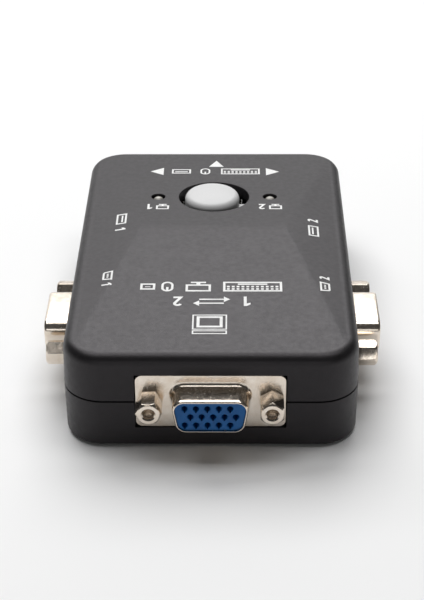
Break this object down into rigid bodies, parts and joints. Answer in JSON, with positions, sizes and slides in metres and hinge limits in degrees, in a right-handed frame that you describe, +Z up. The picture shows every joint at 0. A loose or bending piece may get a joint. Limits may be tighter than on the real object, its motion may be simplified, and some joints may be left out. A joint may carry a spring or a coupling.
{
  "type": "kvm switch",
  "caption": "Flat black box that lets computers share one screen, keyboard and mouse: VGA sockets at front and sides, USB sockets, a sprung select button and lamps on a shallow hipped top.",
  "frame": {"origin": "middle of the overall length and width, sockets included, on the surface the feet stand on", "axes": "+X to the right seen from the monitor socket, +Y from the monitor socket to the console USB sockets, +Z up"},
  "size_m": [0.0724, 0.101, 0.0247],
  "materials": {
    "black_plastic": "fine satin moulded texture, black",
    "silver_plastic": "smooth silver paint on moulded plastic",
    "bright_nickel": "bright nickel plate, slightly warm",
    "zinc_steel": "plain zinc-plated steel",
    "contact_gold": "thin gold flash",
    "blue_plastic": "moulded blue insulator",
    "white_plastic": "moulded white insulator",
    "black_rubber": "matt",
    "board_laminate": "solder mask on glass-epoxy laminate, green",
    "chip_epoxy": "moulded black",
    "lamp_epoxy": "cloudy clear epoxy",
    "spacer_nylon": "black nylon",
    "white_print": "pad-printed white ink, added with the looks"
  },
  "bodies": {
    "case": {"top_cover": "black_plastic", "bottom_case": "black_plastic", "case_screw_front_left": "zinc_steel", "foot_front_left": "black_rubber", "case_screw_rear_left": "zinc_steel", "foot_rear_left": "black_rubber", "case_screw_front_right": "zinc_steel", "foot_front_right": "black_rubber", "case_screw_rear_right": "zinc_steel", "foot_rear_right": "black_rubber", "circuit_board": "board_laminate", "board_screw_left": "zinc_steel", "board_screw_right": "zinc_steel", "video_switch_chip": "chip_epoxy", "usb_switch_chip": "chip_epoxy", "crystal": "zinc_steel", "capacitor_left": "chip_epoxy", "capacitor_right": "chip_epoxy", "monitor_port_shell": "bright_nickel", "monitor_port_insulator": "blue_plastic", "monitor_port_contacts": "contact_gold", "monitor_port_bracket": "zinc_steel", "monitor_port_jack_screw_left": "bright_nickel", "monitor_port_jack_screw_right": "bright_nickel", "pc1_vga_port_shell": "bright_nickel", "pc1_vga_port_insulator": "blue_plastic", "pc1_vga_port_contacts": "contact_gold", "pc1_vga_port_bracket": "zinc_steel", "pc1_vga_port_jack_screw_left": "bright_nickel", "pc1_vga_port_jack_screw_right": "bright_nickel", "pc2_vga_port_shell": "bright_nickel", "pc2_vga_port_insulator": "blue_plastic", "pc2_vga_port_contacts": "contact_gold", "pc2_vga_port_bracket": "zinc_steel", "pc2_vga_port_jack_screw_left": "bright_nickel", "pc2_vga_port_jack_screw_right": "bright_nickel", "pc1_usb_port_shell": "bright_nickel", "pc1_usb_port_housing": "white_plastic", "pc1_usb_port_contacts": "contact_gold", "pc2_usb_port_shell": "bright_nickel", "pc2_usb_port_housing": "white_plastic", "pc2_usb_port_contacts": "contact_gold", "console_usb_left_shell": "bright_nickel", "console_usb_left_tongue": "white_plastic", "console_usb_left_contacts": "contact_gold", "console_usb_middle_shell": "bright_nickel", "console_usb_middle_tongue": "white_plastic", "console_usb_middle_contacts": "contact_gold", "console_usb_right_shell": "bright_nickel", "console_usb_right_tongue": "white_plastic", "console_usb_right_contacts": "contact_gold", "switch_housing": "chip_epoxy", "switch_spring": "zinc_steel", "pc1_lamp_lens": "lamp_epoxy", "pc1_lamp_spacer": "spacer_nylon", "pc2_lamp_lens": "lamp_epoxy", "pc2_lamp_spacer": "spacer_nylon"},
    "button": {"select_button_cap": "silver_plastic", "switch_plunger": "white_plastic"}
  },
  "joints": [
    {"name": "select_button_press", "type": "slide", "parent": "case", "child": "button", "axis": [0, 0, -1], "range_m": [0, 0.002], "stiffness_N_per_m": 300, "springref_m": -0.001, "deforming": ["switch_spring"]}
  ]
}
